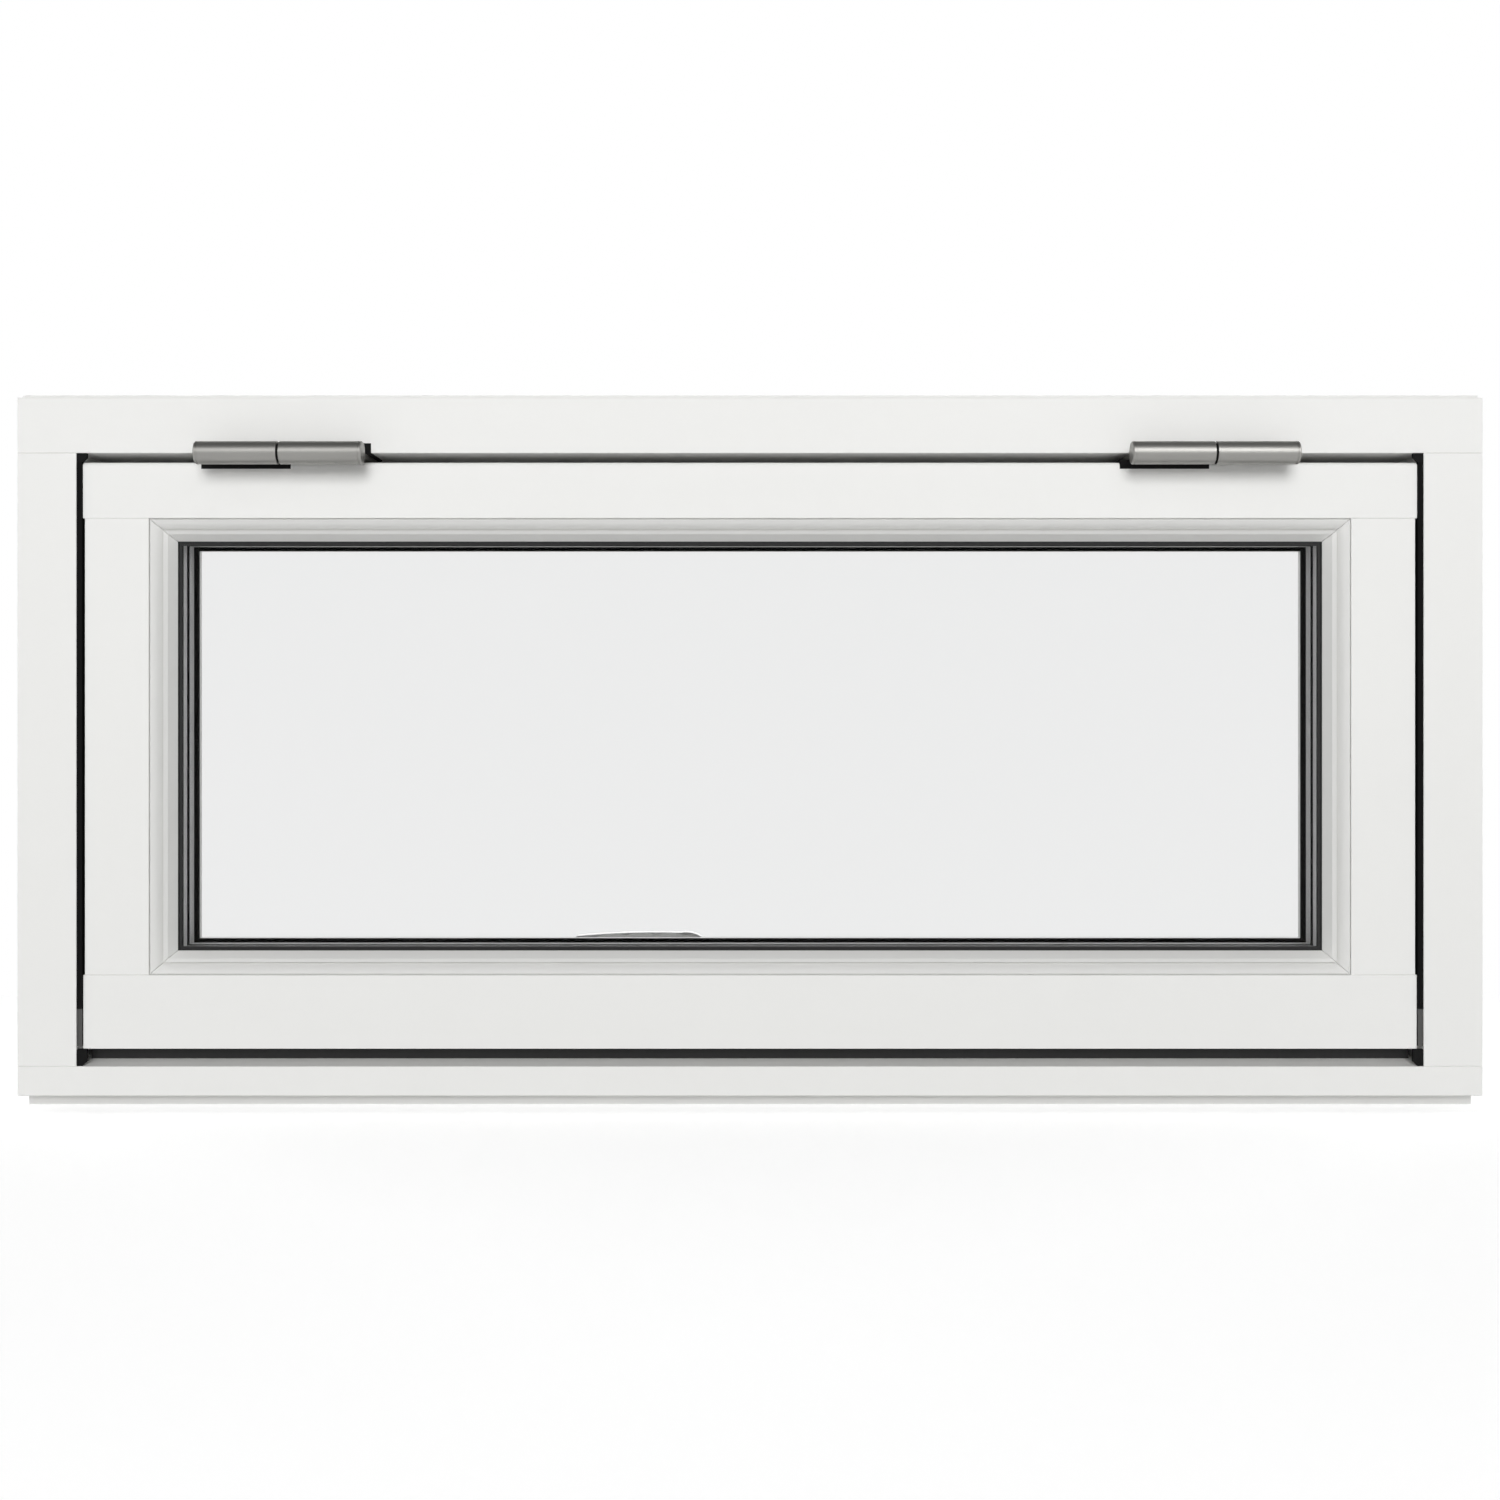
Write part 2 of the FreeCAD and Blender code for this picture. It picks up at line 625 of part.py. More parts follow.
# Barrel hinges, each with a sash leaf on its left half and a frame leaf on its right half
for side, sign in (("left", "-1"), ("right", "1")):
    centre = f"{sign} * hinge_offset"
    spot = (f"{centre} - hinge_shift", "hinge_line", "hinge_level")
    for owner, half in (("sash", -1), ("frame", 1)):
        leaf = new_body(f"hinge_{side}_{owner}_leaf", *spot)
        far_end = f"{half} * barrel_length / 2"
        sketch = new_sketch(leaf, "barrel", "YZ_Plane", far_end)
        add_circle(sketch, "0", "0", "barrel_diameter")
        pad(leaf, sketch, "knuckle_length", reverse=half > 0)
        dress(leaf, "Chamfer", "barrel_chamfer", lambda e: near(e, x=far_end, y="0", z="0"))
        cap_start = f"{half} * (barrel_length / 2 - cap_length - cap_groove)"
        sketch = new_sketch(leaf, "cap_groove", "YZ_Plane", cap_start)
        add_circle(sketch, "0", "0", "barrel_diameter + overcut")
        add_circle(sketch, "0", "0", "barrel_diameter - 2 * cap_groove")
        pocket(leaf, sketch, "cap_groove", reverse=half > 0)
        sketch = new_sketch(leaf, "plate", "YZ_Plane", f"{half} * (barrel_length / 2 - leaf_inset)")
        add_outline(sketch, rectangle("0", "-leaf_thickness / 2", "leaf_end", "leaf_thickness / 2"))
        pad(leaf, sketch, "knuckle_length - 2 * leaf_inset", reverse=half > 0)
        sketch = new_sketch(leaf, "bore", "YZ_Plane", f"{half} * barrel_joint / 2")
        add_circle(sketch, "0", "0", "pin_diameter + 2 * pin_clearance")
        pocket(leaf, sketch, "(pin_length - barrel_joint) / 2 + pin_clearance", reverse=half > 0)
    pin = new_body(f"hinge_{side}_pin", *spot)
    sketch = new_sketch(pin, "circle", "YZ_Plane")
    add_circle(sketch, "0", "0", "pin_diameter")
    pad(pin, sketch, "pin_length", both=True)
    washer = new_body(f"hinge_{side}_washer", *spot)
    sketch = new_sketch(washer, "circle", "YZ_Plane")
    add_circle(sketch, "0", "0", "washer_diameter")
    add_circle(sketch, "0", "0", "pin_diameter + 2 * pin_clearance")
    pad(washer, sketch, "barrel_joint", both=True)
    add_block(
        f"hinge_{side}_sash_packer",
        (f"{centre} - sash_notch_length", "sash_front", "sash_top - sash_notch_depth"),
        (centre, "sash_front + leaf_depth", "hinge_level - leaf_thickness / 2"),
    )
    add_block(
        f"hinge_{side}_frame_packer",
        (centre, "front", "hinge_level + leaf_thickness / 2"),
        (f"{centre} + frame_notch_length", "sash_front + leaf_depth", "head_soffit + frame_notch_depth"),
    )

# Notches in the top rail and the head that take the hinge packers
notch_back = "sash_front + leaf_depth"
for side, sign in (("left", "-1"), ("right", "1")):
    sketch = new_sketch(top_rail, f"notch_{side}", "YZ_Plane", f"{sign} * hinge_offset - sash_notch_length")
    notch_floor = "sash_top - sash_notch_depth"
    add_outline(sketch, rectangle("sash_front - overcut", notch_floor, notch_back, "sash_top + overcut"))
    pocket(top_rail, sketch, "sash_notch_length", reverse=True)
    sketch = new_sketch(head, f"notch_{side}", "YZ_Plane", f"{sign} * hinge_offset")
    notch_roof = "head_soffit + frame_notch_depth"
    add_outline(sketch, rectangle("front - overcut", "head_soffit - overcut", notch_back, notch_roof))
    pocket(head, sketch, "frame_notch_length", reverse=True)

# Handle rosette on the inner face of the bottom rail
rosette = new_body("handle_rosette", "0", "sash_back", "handle_height")
sketch = new_sketch(rosette, "outline", "XZ_Plane")
rosette_corner = ("rosette_length / 2", "rosette_width / 2")
add_outline(sketch, rectangle(*(f"-{side}" for side in rosette_corner), *rosette_corner))
pad(rosette, sketch, "rosette_thickness", reverse=True)
dress(rosette, "Fillet", "rosette_corner", lambda e: along("y", e))
dress(rosette, "Fillet", "rosette_round", lambda e: flush(e, "y", "rosette_thickness"))
sketch = new_sketch(rosette, "bore", "XZ_Plane")
add_circle(sketch, "0", "0", "stub_diameter + 2 * stub_clearance")
pocket(rosette, sketch)

# Lever that points left, with finger grooves on its glass side
lever = new_body("handle_lever", "0", "sash_back", "handle_height")
sketch = new_sketch(lever, "stub", "XZ_Plane")
add_circle(sketch, "0", "0", "stub_diameter")
pad(lever, sketch, "grip_standoff + grip_thickness / 2", reverse=True)
sketch = new_sketch(lever, "grip", "XZ_Plane", "-grip_standoff")
lever_outline = [
    ("stub_diameter / 2 + neck_margin", "-neck_half_height"),
    ("stub_diameter / 2 + neck_margin", "neck_half_height"),
    ("-neck_end", "neck_half_height", "-shoulder_radius"),
    ("-shoulder_end", "grip_half_height", "-grip_crown"),
    ("-(grip_length - grip_tip_radius)", "grip_half_height - grip_taper", "-grip_tip_radius"),
    ("-grip_length", "grip_half_height - grip_taper - grip_tip_radius"),
    ("-grip_length", "-(grip_half_height - grip_taper - grip_tip_radius)", "-grip_tip_radius"),
    ("-(grip_length - grip_tip_radius)", "-(grip_half_height - grip_taper)", "-grip_crown"),
    ("-shoulder_end", "-grip_half_height", "-shoulder_radius"),
    ("-neck_end", "-neck_half_height"),
]
add_outline(sketch, lever_outline)
pad(lever, sketch, "grip_thickness", reverse=True)
dress(lever, "Fillet", "grip_round", lambda e: flush(e, "y", "grip_standoff + grip_thickness"))
glass_side = "grip_standoff"
dress(lever, "Chamfer", "grip_chamfer", lambda e: flush(e, "y", glass_side) and not near(e, x="0", z="0"))
finger_grooves = 3
for i in range(finger_grooves):
    sketch = new_sketch(lever, f"groove_{i}", "XY_Plane")
    place = f"-(groove_start + {i} * groove_pitch)"
    add_circle(sketch, place, "grip_standoff + groove_depth - groove_radius", "2 * groove_radius")
    pocket(lever, sketch)

doc.recompute()

# Every piece is sound before it is written
os.makedirs("parts", exist_ok=True)
for item in doc.Objects:
    if "Invalid" in item.State or "Error" in item.State:
        raise RuntimeError(f"{item.Name} did not build: {item.State}")
for piece in pieces:
    if piece.Shape.isNull() or not piece.Shape.isValid() or len(piece.Shape.Solids) != 1:
        raise RuntimeError(f"{piece.Name} is not one sound solid")
    piece.Shape.exportStep(f"parts/{piece.Label}.step")
print(len(pieces), "pieces written")
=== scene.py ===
import json
import math
import bpy
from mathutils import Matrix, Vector


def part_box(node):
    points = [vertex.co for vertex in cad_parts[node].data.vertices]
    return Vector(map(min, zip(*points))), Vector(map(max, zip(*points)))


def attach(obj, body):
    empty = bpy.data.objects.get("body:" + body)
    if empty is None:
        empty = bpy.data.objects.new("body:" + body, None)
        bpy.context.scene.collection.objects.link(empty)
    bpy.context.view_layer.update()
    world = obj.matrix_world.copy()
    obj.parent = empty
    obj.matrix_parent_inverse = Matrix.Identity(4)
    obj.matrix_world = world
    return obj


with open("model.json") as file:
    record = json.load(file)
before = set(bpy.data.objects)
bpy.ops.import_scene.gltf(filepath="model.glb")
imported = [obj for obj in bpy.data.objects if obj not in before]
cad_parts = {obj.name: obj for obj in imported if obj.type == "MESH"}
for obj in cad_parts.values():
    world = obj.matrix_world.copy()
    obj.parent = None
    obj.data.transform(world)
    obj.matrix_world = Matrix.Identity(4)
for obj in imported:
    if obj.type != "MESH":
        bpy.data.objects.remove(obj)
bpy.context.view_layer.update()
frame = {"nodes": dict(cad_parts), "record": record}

nodes = frame["nodes"]
bpy.ops.object.select_all(action="DESELECT")
print("frame loaded,", len(nodes), "nodes")


# small helpers for node trees

def grey(level):
    return (level, level, level, 1)


def addNode(tree, kind, **settings):
    node = tree.nodes.new(kind)
    for key, value in settings.items():
        setattr(node, key, value)
    return node


def newGroup(name, inputs, outputs):
    tree = bpy.data.node_groups.new(name, "ShaderNodeTree")
    for label, kind, value in inputs:
        socket = tree.interface.new_socket(label, in_out="INPUT", socket_type=kind)
        socket.default_value = value
    for label, kind in outputs:
        tree.interface.new_socket(label, in_out="OUTPUT", socket_type=kind)
    return tree, addNode(tree, "NodeGroupInput"), addNode(tree, "NodeGroupOutput")


def placeGroup(tree, group, **values):
    node = addNode(tree, "ShaderNodeGroup", node_tree=group)
    for label, value in values.items():
        node.inputs[label.replace("_", " ")].default_value = value
    return node


def mapRange(tree, value, fromRange, toRange, **settings):
    node = addNode(tree, "ShaderNodeMapRange", **settings)
    for label, number in zip(("From Min", "From Max", "To Min", "To Max"), fromRange + toRange):
        node.inputs[label].default_value = number
    tree.links.new(value, node.inputs["Value"])
    return node.outputs["Result"]


def mathNode(tree, operation, *values):
    node = addNode(tree, "ShaderNodeMath", operation=operation)
    for place, value in enumerate(values):
        tree.links.new(value, node.inputs[place])
    return node.outputs["Value"]


def mixShaders(tree, factor, first, second):
    node = addNode(tree, "ShaderNodeMixShader")
    tree.links.new(factor, node.inputs["Fac"])
    tree.links.new(first, node.inputs[1])
    tree.links.new(second, node.inputs[2])
    return node.outputs["Shader"]


# shared finish groups, built once
noiseDetail = {"blotch": 3, "speckle": 2, "lines": 2}


# soft blotches of a second shade in a colour, with roughness to match, and a fine speckle as height
def makeMottle():
    tree, start, end = newGroup(
        "finishMottle",
        [("Color", "NodeSocketColor", grey(0.8)),
         ("Tint", "NodeSocketColor", grey(0.7)),
         ("Amount", "NodeSocketFloat", 0.2),
         ("Blotch Scale", "NodeSocketFloat", 6.0),
         ("Speckle Scale", "NodeSocketFloat", 600.0),
         ("Rough Low", "NodeSocketFloat", 0.4),
         ("Rough High", "NodeSocketFloat", 0.5)],
        [("Color", "NodeSocketColor"), ("Roughness", "NodeSocketFloat"), ("Height", "NodeSocketFloat")])
    coord = addNode(tree, "ShaderNodeTexCoord")
    blotch = addNode(tree, "ShaderNodeTexNoise")
    blotch.inputs["Detail"].default_value = noiseDetail["blotch"]
    speckle = addNode(tree, "ShaderNodeTexNoise")
    speckle.inputs["Detail"].default_value = noiseDetail["speckle"]
    mask = mathNode(tree, "MULTIPLY", blotch.outputs["Fac"], start.outputs["Amount"])
    mix = addNode(tree, "ShaderNodeMix", data_type="RGBA")
    rough = addNode(tree, "ShaderNodeMapRange")
    link = tree.links.new
    link(coord.outputs["Object"], blotch.inputs["Vector"])
    link(coord.outputs["Object"], speckle.inputs["Vector"])
    link(start.outputs["Blotch Scale"], blotch.inputs["Scale"])
    link(start.outputs["Speckle Scale"], speckle.inputs["Scale"])
    link(mask, mix.inputs["Factor"])
    link(start.outputs["Color"], mix.inputs["A"])
    link(start.outputs["Tint"], mix.inputs["B"])
    link(blotch.outputs["Fac"], rough.inputs["Value"])
    link(start.outputs["Rough Low"], rough.inputs["To Min"])
    link(start.outputs["Rough High"], rough.inputs["To Max"])
    link(mix.outputs["Result"], end.inputs["Color"])
    link(rough.outputs["Result"], end.inputs["Roughness"])
    link(speckle.outputs["Fac"], end.inputs["Height"])
    return tree


# fine lines drawn along one direction, as on ground metal
def makeBrushLines():
    tree, start, end = newGroup(
        "finishBrushLines",
        [("Stretch", "NodeSocketVector", (1.0, 1.0, 1.0)),
         ("Line Scale", "NodeSocketFloat", 400.0)],
        [("Lines", "NodeSocketFloat")])
    coord = addNode(tree, "ShaderNodeTexCoord")
    scale = addNode(tree, "ShaderNodeVectorMath", operation="MULTIPLY")
    noise = addNode(tree, "ShaderNodeTexNoise")
    noise.inputs["Detail"].default_value = noiseDetail["lines"]
    link = tree.links.new
    link(coord.outputs["Object"], scale.inputs[0])
    link(start.outputs["Stretch"], scale.inputs[1])
    link(scale.outputs[0], noise.inputs["Vector"])
    link(start.outputs["Line Scale"], noise.inputs["Scale"])
    link(noise.outputs["Fac"], end.inputs["Lines"])
    return tree


mottle = makeMottle()
brushLines = makeBrushLines()


# materials of the carried over pieces
bumpDepth = 0.0002                                      # m, height of a bump at full strength


def newMaterial(name):
    material = bpy.data.materials.new(name)
    material.use_nodes = True
    tree = material.node_tree
    return material, tree, tree.nodes["Principled BSDF"]


def addBump(tree, shader, height, strength):
    bump = addNode(tree, "ShaderNodeBump")
    bump.inputs["Strength"].default_value = strength
    bump.inputs["Distance"].default_value = bumpDepth
    tree.links.new(height, bump.inputs["Height"])
    tree.links.new(bump.outputs["Normal"], shader.inputs["Normal"])


def mottledMaterial(look):
    material, tree, shader = newMaterial(look["name"])
    group = placeGroup(
        tree, mottle, Color=look["color"], Tint=look["tint"], Amount=look["amount"],
        Blotch_Scale=look["blotch"], Speckle_Scale=look["speckle"],
        Rough_Low=look["rough"][0], Rough_High=look["rough"][1])
    tree.links.new(group.outputs["Color"], shader.inputs["Base Color"])
    tree.links.new(group.outputs["Roughness"], shader.inputs["Roughness"])
    height = group.outputs["Height"]
    if "lines" in look:
        brushed = placeGroup(tree, brushLines, Stretch=look["stretch"], Line_Scale=look["lines"])
        height = brushed.outputs["Lines"]
    addBump(tree, shader, height, look["bump"])
    shader.inputs["Metallic"].default_value = look.get("metal", 0)
    shader.inputs["Specular IOR Level"].default_value = look.get("specular", 0.5)
    return material


def glassMaterial(look):
    material, tree, shader = newMaterial(look["name"])
    group = placeGroup(tree, mottle, Color=look["color"], Tint=look["tint"], Amount=look["amount"],
                       Blotch_Scale=look["blotch"])
    tree.links.new(group.outputs["Color"], shader.inputs["Base Color"])
    shader.inputs["Roughness"].default_value = 0.0
    shader.inputs["IOR"].default_value = look["ior"]
    shader.inputs["Transmission Weight"].default_value = 1.0
    return material


whitePaint = {"name": "whitePaint", "color": (0.85, 0.85, 0.833, 1), "tint": (0.82, 0.82, 0.80, 1),
              "amount": 0.35, "blotch": 5, "speckle": 900, "rough": (0.40, 0.48), "bump": 0.05,
              "specular": 0.3}
rubber = {"amount": 0.5, "blotch": 40, "speckle": 1500, "bump": 0.1}        # what all the rubbers share
glazingRubber = {**rubber, "name": "glazingRubber", "color": grey(0.028), "tint": grey(0.040),
                 "rough": (0.6, 0.8), "specular": 0.15}
# painted light: a lighter copy of the glazing rubber for the inner seal, which lies in deep shade behind
# the panes
innerRubberPaintedLight = {**glazingRubber, "name": "innerRubberPaintedLight", "color": grey(0.062), "tint": grey(0.078)}
gapRubber = {**rubber, "name": "gapRubber", "color": grey(0.004), "tint": grey(0.010),
             "rough": (0.7, 0.85), "specular": 0.08}
blackPlastic = {"name": "blackPlastic", "color": grey(0.005), "tint": grey(0.012), "amount": 0.5,
                "blotch": 60, "speckle": 2000, "rough": (0.55, 0.7), "bump": 0.08, "specular": 0.1}
spacerGrey = {"name": "spacerGrey", "color": grey(0.53), "tint": grey(0.47), "amount": 0.4,
              "blotch": 30, "speckle": 1200, "rough": (0.5, 0.6), "bump": 0.05}
keepGrey = {"name": "keepGrey", "color": (0.105, 0.105, 0.102, 1), "tint": (0.085, 0.085, 0.083, 1),
            "amount": 0.5, "blotch": 80, "speckle": 1500, "rough": (0.4, 0.55), "bump": 0.06, "metal": 1}
handleGrey = {"name": "handleGrey", "color": grey(0.60), "tint": grey(0.53), "amount": 0.4,
              "blotch": 40, "speckle": 1500, "rough": (0.32, 0.42), "bump": 0.04, "metal": 1,
              "lines": 900, "stretch": (0.06, 1, 1)}
hingeSteel = {"name": "hingeSteel", "color": (0.335, 0.33, 0.315, 1), "tint": (0.29, 0.285, 0.272, 1),
              "amount": 0.4, "blotch": 40, "speckle": 1500, "rough": (0.33, 0.41), "bump": 0.05,
              "metal": 1, "lines": 700, "stretch": (0.05, 1, 1)}
clearGlass = {"name": "clearGlass", "color": grey(0.946), "tint": (0.938, 0.941, 0.940, 1),
              "amount": 0.8, "blotch": 3, "ior": 1.12}                      # coated panes, so little glare

finishes = {}
for look in (whitePaint, glazingRubber, innerRubberPaintedLight, gapRubber, blackPlastic, spacerGrey, keepGrey,
             handleGrey, hingeSteel):
    finishes[look["name"]] = mottledMaterial(look)
finishes[clearGlass["name"]] = glassMaterial(clearGlass)

slotFinish = {"painted_wood": "whitePaint", "glass": "clearGlass", "spacer_metal": "spacerGrey",
              "black_rubber": "gapRubber", "black_plastic": "blackPlastic", "hinge_steel": "hingeSteel",
              "keep_metal": "keepGrey", "handle_metal": "handleGrey"}
# the inner seal takes the lighter rubber copy, painted light for its deep shade
sealFinish = {"outer_gasket": "glazingRubber", "sill_seal": "glazingRubber", "inner_gasket": "innerRubberPaintedLight"}
for part in frame["record"]["subparts"]:
    node = nodes[part["node"]]
    node.data.materials.clear()
    finish = sealFinish.get(part["node"], slotFinish[part["material_slot"]])
    node.data.materials.append(finishes[finish])
print("finishes set")


# black seal lines between the panes and their spacers
sealLine = {"outerDepth": 0.0030, "middleDepth": 0.0005, "innerDepth": 0.0003, "wall": 0.0020,
            "spacerWall": 0.0070, "proud": 0.0003}      # the spacers' wall and a line's rise past it
hair = 0.00002                                          # keeps faces from lying in one plane
facesAlongY = 0.9                                       # least Y in a normal for a front or back face


# a rectangular ring, low and high as (x, z), from near to far along Y
def frameRing(name, low, high, near, far, wall):
    bpy.ops.object.select_all(action="DESELECT")
    size = (high[0] - low[0], far - near, high[1] - low[1])
    middle = ((low[0] + high[0]) / 2, (near + far) / 2, (low[1] + high[1]) / 2)
    bpy.ops.mesh.primitive_cube_add(size=1, location=middle, scale=size)
    ring = bpy.context.object
    ring.name = name
    bpy.ops.object.transform_apply(location=True, rotation=True, scale=True)
    bpy.ops.object.mode_set(mode="EDIT")
    bpy.ops.mesh.select_mode(type="FACE")
    bpy.ops.mesh.select_all(action="DESELECT")
    bpy.ops.object.mode_set(mode="OBJECT")
    for face in ring.data.polygons:
        face.select = abs(face.normal.y) > facesAlongY
    bpy.ops.object.mode_set(mode="EDIT")
    bpy.ops.mesh.inset(thickness=wall, depth=0)
    bpy.ops.mesh.bridge_edge_loops()
    bpy.ops.mesh.select_all(action="SELECT")
    bpy.ops.mesh.normals_make_consistent(inside=False)
    bpy.ops.object.mode_set(mode="OBJECT")
    return ring


# sight is how far the ring's inner edge lies in from the node's outer edge
def sealRing(name, node, sight, near, far):
    low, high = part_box(node)
    edge = sight - sealLine["wall"]
    ring = frameRing(name, (low.x + edge, low.z + edge), (high.x - edge, high.z - edge),
                     near, far, sealLine["wall"])
    ring.data.materials.append(finishes["glazingRubber"])
    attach(ring, "root")
    return ring


outerLow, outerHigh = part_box("outer_spacer")
innerLow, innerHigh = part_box("inner_spacer")
spacerSight = sealLine["spacerWall"] + sealLine["proud"]
sealRing("sealOuterPane", "outer_spacer", spacerSight,
         outerLow.y + hair, outerLow.y + sealLine["outerDepth"])
sealRing("sealMiddleFront", "outer_spacer", spacerSight,
         outerHigh.y - sealLine["middleDepth"], outerHigh.y - hair)
sealRing("sealMiddleBack", "inner_spacer", spacerSight,
         innerLow.y + hair, innerLow.y + sealLine["middleDepth"])
sealRing("sealInnerPane", "inner_spacer", spacerSight,
         innerHigh.y - sealLine["innerDepth"], innerHigh.y - hair)

# soft lip of the outer glazing seal, lying on the glass
glazingLip = {"sight": 0.0129, "thick": 0.0010, "round": 0.0004, "segments": 2}
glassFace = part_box("outer_gasket")[1].y
lip = sealRing("glazingLip", "outer_gasket", glazingLip["sight"],
               glassFace - glazingLip["thick"], glassFace - hair)
bpy.ops.object.select_all(action="DESELECT")
bpy.context.view_layer.objects.active = lip
lip.select_set(True)
bevel = lip.modifiers.new("lipRound", "BEVEL")
bevel.width = glazingLip["round"]
bevel.segments = glazingLip["segments"]
bpy.ops.object.modifier_apply(modifier=bevel.name)
print("seal lines made")


# one where a ray is of any of these kinds
def rayMask(tree, path, first, *others):
    mask = path.outputs[first]
    for kind in others:
        mask = mathNode(tree, "MAXIMUM", mask, path.outputs[kind])
    return mask


# pale floor: it takes the shadow, and past the clear distances it is seen as plain white
floorLook = {"size": 16.0, "shade": 0.8, "lift": 0.05, "seenLift": 0.55, "clear": (0.56, 0.80)}


def floorMaterial(look):
    material = bpy.data.materials.new("floorPaint")
    material.use_nodes = True
    tree = material.node_tree
    tree.nodes.clear()
    link = tree.links.new
    path = addNode(tree, "ShaderNodeLightPath")
    seen = rayMask(tree, path, "Is Camera Ray", "Is Glossy Ray", "Is Transmission Ray")
    matte = addNode(tree, "ShaderNodeBsdfDiffuse")
    matte.inputs["Color"].default_value = grey(look["shade"])
    lift = addNode(tree, "ShaderNodeEmission")
    link(mapRange(tree, seen, (0, 1), (look["lift"], look["seenLift"])), lift.inputs["Strength"])
    near = addNode(tree, "ShaderNodeAddShader")
    link(matte.outputs[0], near.inputs[0])
    link(lift.outputs[0], near.inputs[1])
    white = addNode(tree, "ShaderNodeEmission")
    far = mixShaders(tree, seen, near.outputs[0], white.outputs[0])
    coord = addNode(tree, "ShaderNodeTexCoord")
    reach = addNode(tree, "ShaderNodeVectorMath", operation="LENGTH")
    link(coord.outputs["Object"], reach.inputs[0])
    fade = mapRange(tree, reach.outputs["Value"], look["clear"], (0, 1), interpolation_type="SMOOTHSTEP")
    out = addNode(tree, "ShaderNodeOutputMaterial")
    link(mixShaders(tree, fade, near.outputs[0], far), out.inputs["Surface"])
    return material


bpy.ops.mesh.primitive_plane_add(size=floorLook["size"], location=(0, 0, 0))
floor = bpy.context.object
floor.name = "floor"
floor.data.materials.append(floorMaterial(floorLook))

# white walls under a darker ceiling; the pairs say how far up or out a change begins and ends
room = {"strength": 0.38, "ceiling": 0.3, "ceilingRise": (0.35, 0.85),
        "leftWall": 0.65, "wallReach": (-0.75, 0.75),   # metal mirrors a left wall that is dimmer
        "ends": 0.45, "endsReach": (0.25, 0.85)}        # dimmer ends, so the beads keep their form


def lightRoom(look):
    world = bpy.data.worlds.new("studioWorld")
    bpy.context.scene.world = world
    world.use_nodes = True
    tree = world.node_tree
    link = tree.links.new
    coord = addNode(tree, "ShaderNodeTexCoord")
    split = addNode(tree, "ShaderNodeSeparateXYZ")
    link(coord.outputs["Generated"], split.inputs[0])
    ceiling = mapRange(tree, split.outputs["Z"], look["ceilingRise"], (1, look["ceiling"]),
                       interpolation_type="SMOOTHSTEP")
    wall = mapRange(tree, split.outputs["X"], look["wallReach"], (look["leftWall"], 1))
    sideways = mathNode(tree, "ABSOLUTE", split.outputs["X"])
    ends = mapRange(tree, sideways, look["endsReach"], (1, look["ends"]), interpolation_type="SMOOTHSTEP")
    soft = tree.nodes["Background"]
    soft.inputs["Strength"].default_value = look["strength"]
    link(mathNode(tree, "MULTIPLY", ceiling, ends), soft.inputs["Color"])
    mirrored = addNode(tree, "ShaderNodeBackground")
    link(mathNode(tree, "MULTIPLY", ceiling, wall), mirrored.inputs["Color"])
    plain = addNode(tree, "ShaderNodeBackground")
    plain.inputs["Color"].default_value = grey(1)
    path = addNode(tree, "ShaderNodeLightPath")
    seen = rayMask(tree, path, "Is Camera Ray", "Is Transmission Ray")
    shine = mixShaders(tree, path.outputs["Is Glossy Ray"], soft.outputs[0], mirrored.outputs[0])
    link(mixShaders(tree, seen, shine, plain.outputs[0]), tree.nodes["World Output"].inputs["Surface"])


lightRoom(room)

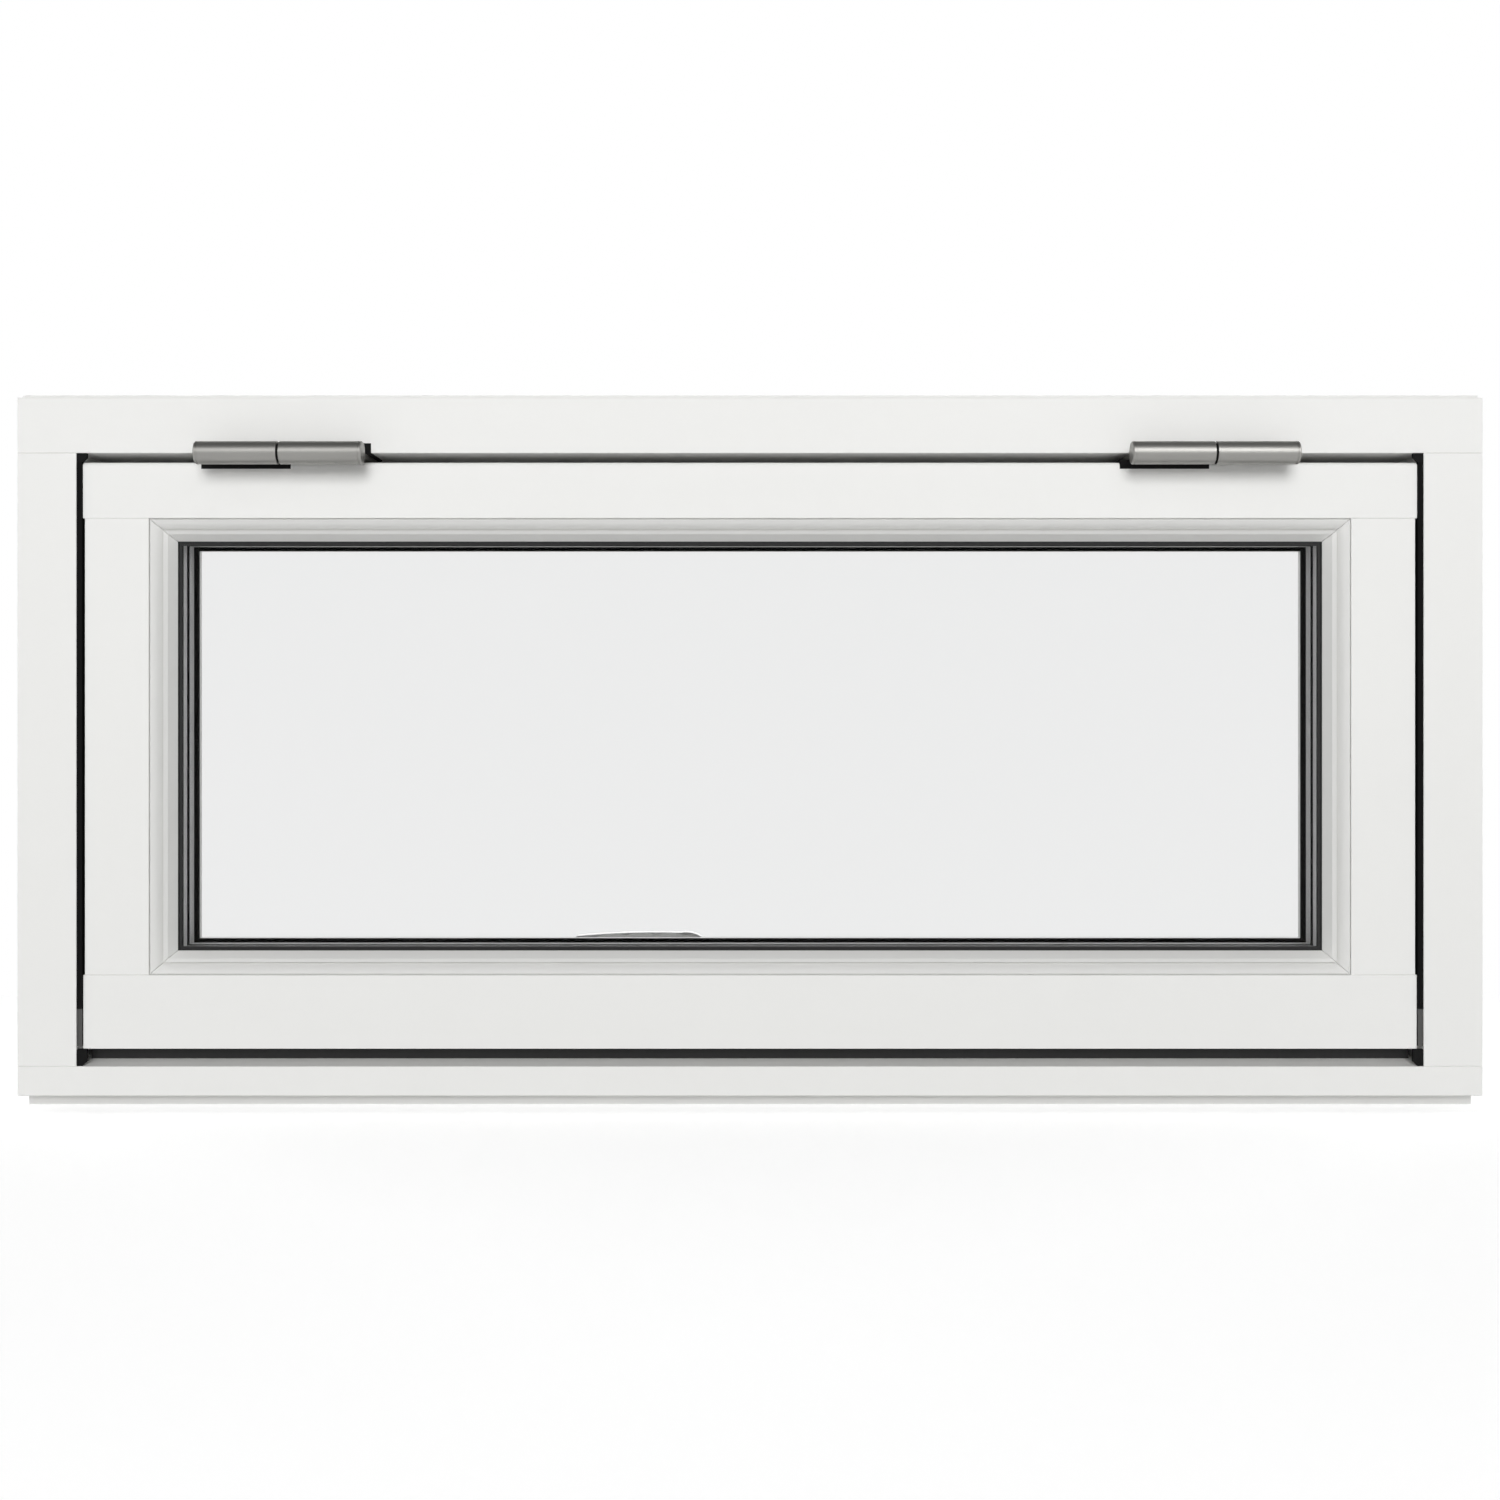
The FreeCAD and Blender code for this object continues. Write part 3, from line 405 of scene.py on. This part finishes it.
# soft boxes, in metres and watts, with the kinds of ray that don't meet them
lamps = {
    "frontPanel": {"place": (0, -5.0, 1.7), "aim": (0, 0, 0.24), "size": (1.9, 2.0), "power": 155.0,
                   "hidden": ("glossy", "transmission")},       # even light, mirrored in no barrel or pane
    "leftPanel": {"place": (-2.4, -1.6, 0.6), "aim": (0, 0, 0.3), "size": (1.2, 1.2), "power": 3.0},
    "rightPanel": {"place": (2.4, -1.6, 0.6), "aim": (0, 0, 0.3), "size": (1.2, 1.2), "power": 1.0},
    "hingeRightBox": {"place": (0.83, -2.0, 1.25), "aim": (0.3, 0, 0.44), "size": (0.55, 1.2),
                      "power": 11.0, "hidden": ("diffuse",)},   # only a shine along the barrels
    "hingeLeftBox": {"place": (-0.83, -2.0, 1.25), "aim": (-0.3, 0, 0.44), "size": (0.55, 1.2),
                     "power": 5.0, "hidden": ("diffuse",)},
    "upperBox": {"place": (0, -1.7, 2.0), "aim": (0, 0, 0.3), "size": (1.8, 0.8), "power": 2.5},
    "backPanel": {"place": (0, 2.4, 1.3), "aim": (0, 0, 0.2), "size": (3.0, 1.6), "power": 27.0,
                  "hidden": ("transmission",)},                 # lights the inside, not seen through a pane
    "leftEndBox": {"place": (-2.6, 0.9, 0.9), "aim": (-0.49, 0.06, 0.24), "size": (1.4, 1.4),
                   "power": 15.0, "hidden": ("transmission",)},
    "rightEndBox": {"place": (2.6, 0.9, 0.9), "aim": (0.49, 0.06, 0.24), "size": (1.4, 1.4),
                    "power": 15.0, "hidden": ("transmission",)}}
for name, box in lamps.items():
    bpy.ops.object.light_add(type="AREA", location=box["place"])
    lamp = bpy.context.object
    lamp.name = name
    lamp.data.shape = "RECTANGLE"
    lamp.data.size, lamp.data.size_y = box["size"]
    lamp.data.energy = box["power"]
    lamp.rotation_euler = (Vector(box["aim"]) - lamp.location).to_track_quat("-Z", "Y").to_euler()
    for ray in box.get("hidden", ()):
        setattr(lamp, "visible_" + ray, False)

# the photo is square; its optical axis meets the frame's front face at this height and pixel row
shot = {"imageSize": 1500, "axisRow": 700, "axisHeight": 0.2748, "widthSeen": 1.00305,
        "fieldDegrees": 45, "sensorWidth": 36}
bpy.ops.object.camera_add()
camera = bpy.context.object
camera.name = "photoCamera"
halfField = math.radians(shot["fieldDegrees"] / 2)
camera.data.sensor_width = shot["sensorWidth"]
camera.data.lens = shot["sensorWidth"] / 2 / math.tan(halfField)
distance = shot["widthSeen"] / 2 / math.tan(halfField)
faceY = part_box("frame_head")[0].y
camera.location = (0, faceY - distance, shot["axisHeight"])
camera.rotation_euler = (math.radians(90), 0, 0)        # level, looking along Y
camera.data.shift_y = (shot["axisRow"] - shot["imageSize"] / 2) / shot["imageSize"]
bpy.context.scene.camera = camera
bpy.context.scene.view_settings.view_transform = "Standard"
print("stage ready")
